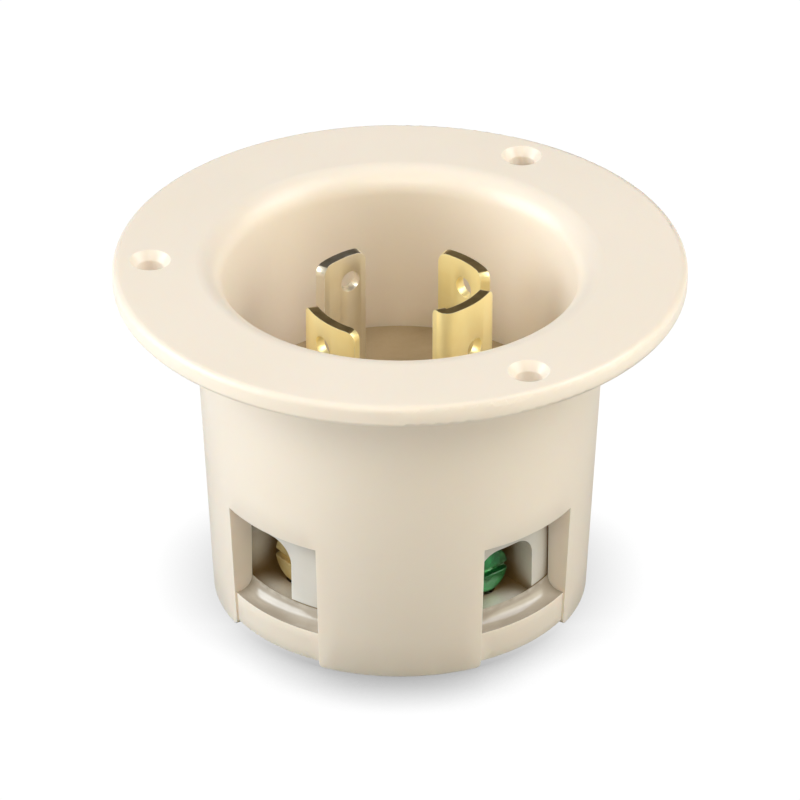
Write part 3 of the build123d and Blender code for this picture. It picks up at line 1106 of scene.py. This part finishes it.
@dataclass
class Studio:
    """Floor, soft lights and camera."""

    floor_level: float
    floor_gap: float = 0.02 * MM
    camera_distance: float = 0.9
    camera_elevation: float = 29.75
    focal_length: float = 281.25  # in millimetres, as lenses are
    aim: Triple = (0.0, -10.0 * MM, -14.2 * MM)
    flange_top: float = 3.3 * MM
    floor_size: float = 6.0
    world_strength: float = 0.07
    world_colour: Triple = (1.0, 0.985, 0.96)
    floor_white: float = 1.03
    shadow_reach: float = 15.0 * MM
    shadow_closed: float = 0.5
    shadow_open: float = 0.9
    shadow_deepest: float = 0.36
    shadow_side: float = -14.0 * MM
    shadow_front: float = -30.0 * MM
    shadow_side_share: float = 0.4
    bounce_near: float = 42.0 * MM
    bounce_far: float = 130.0 * MM
    bounce_least: float = 0.3
    bounce: float = 0.75

    def build(self) -> None:
        """Set up everything that isn't part of the object."""
        scene = bpy.context.scene
        scene.view_settings.view_transform = "Standard"
        self._world(scene)
        self._floor()
        self._camera(scene)
        for softbox in SOFTBOXES:
            self._softbox(softbox)

    def _world(self, scene: bpy.types.Scene) -> None:
        """Light the whole room evenly.

        Args:
            scene: The scene that gets the world.
        """
        world = bpy.data.worlds.new("room")
        world.use_nodes = True
        back = world.node_tree.nodes["Background"]
        back.inputs["Color"].default_value = (*self.world_colour, 1.0)
        back.inputs["Strength"].default_value = self.world_strength
        scene.world = world

    def _floor(self) -> None:
        """Lay a white floor that shows a soft contact shadow and throws little light back up."""
        level = self.floor_level - self.floor_gap
        bpy.ops.mesh.primitive_plane_add(size=self.floor_size, location=(0.0, 0.0, level))
        floor = bpy.context.active_object
        floor.name = "floor"
        material = bpy.data.materials.new("floor_white")
        material.use_nodes = True
        nodes, links = material.node_tree.nodes, material.node_tree.links
        nodes.remove(nodes["Principled BSDF"])
        path = nodes.new("ShaderNodeLightPath")
        contact = nodes.new("ShaderNodeAmbientOcclusion")
        contact.inputs["Distance"].default_value = self.shadow_reach
        contact.samples = 16
        shade = remap(nodes, self.shadow_closed, self.shadow_open, self.shadow_deepest, self.floor_white)
        seen = nodes.new("ShaderNodeEmission")
        place = nodes.new("ShaderNodeTexCoord")
        axes = nodes.new("ShaderNodeSeparateXYZ")
        frontness = remap(nodes, self.shadow_side, self.shadow_front, self.shadow_side_share)
        depth = nodes.new("ShaderNodeMix")
        depth.inputs["A"].default_value = self.floor_white
        distance = nodes.new("ShaderNodeVectorMath")
        distance.operation = "LENGTH"
        reach = remap(nodes, self.bounce_near, self.bounce_far, self.bounce_least, self.bounce)
        thrown = nodes.new("ShaderNodeBsdfDiffuse")
        mix = nodes.new("ShaderNodeMixShader")
        links.new(contact.outputs["AO"], shade.inputs["Value"])
        links.new(place.outputs["Object"], axes.inputs["Vector"])
        links.new(axes.outputs["Y"], frontness.inputs["Value"])
        links.new(frontness.outputs["Result"], depth.inputs["Factor"])
        links.new(shade.outputs["Result"], depth.inputs["B"])
        links.new(depth.outputs["Result"], seen.inputs["Strength"])
        links.new(place.outputs["Object"], distance.inputs[0])
        links.new(distance.outputs["Value"], reach.inputs["Value"])
        links.new(reach.outputs["Result"], thrown.inputs["Color"])
        links.new(path.outputs["Is Camera Ray"], mix.inputs["Fac"])
        links.new(thrown.outputs["BSDF"], mix.inputs[1])
        links.new(seen.outputs["Emission"], mix.inputs[2])
        links.new(mix.outputs["Shader"], nodes["Material Output"].inputs["Surface"])
        floor.data.materials.append(material)
        floor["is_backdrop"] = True

    def _camera(self, scene: bpy.types.Scene) -> None:
        """Stand the camera in front and above, with a long lens.

        Args:
            scene: The scene that gets the camera.
        """
        data = bpy.data.cameras.new("camera")
        data.lens = self.focal_length
        data.sensor_width = 36.0
        data.clip_end = 20.0
        camera = bpy.data.objects.new("camera", data)
        scene.collection.objects.link(camera)
        lift = math.radians(self.camera_elevation)
        away = self.camera_distance * Vector((0.0, -math.cos(lift), math.sin(lift)))
        camera.location = Vector((0.0, 0.0, self.flange_top)) + away
        camera.rotation_euler = (Vector(self.aim) - camera.location).to_track_quat("-Z", "Y").to_euler()
        scene.camera = camera

    def _softbox(self, softbox: Softbox) -> None:
        """Hang a soft light that faces the object.

        Args:
            softbox: The light to hang.
        """
        data = bpy.data.lights.new(softbox.name, "AREA")
        data.shape = "RECTANGLE"
        data.size, data.size_y = softbox.size
        data.energy = softbox.power
        data.color = softbox.colour
        light = bpy.data.objects.new(softbox.name, data)
        bpy.context.scene.collection.objects.link(light)
        light.location = softbox.place
        light.rotation_euler = (-Vector(softbox.place)).to_track_quat("-Z", "Y").to_euler()


def main() -> None:
    """Load the frame, build and dress every piece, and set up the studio."""
    logging.basicConfig(level=logging.INFO, format="%(name)s: %(message)s")
    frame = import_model()
    cad_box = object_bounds()
    bpy.ops.object.select_all(action="DESELECT")
    shop = Paintshop()
    nodes = frame["nodes"]
    for assembly in (Enclosure(nodes), Blades(nodes), TerminalHardware(), AssemblyHardware()):
        for piece in assembly.build(shop):
            LOG.info("%s: %d faces", piece.name, len(piece.data.polygons))
    Studio(floor_level=cad_box[0][2]).build()


if __name__ == "__main__":
    main()
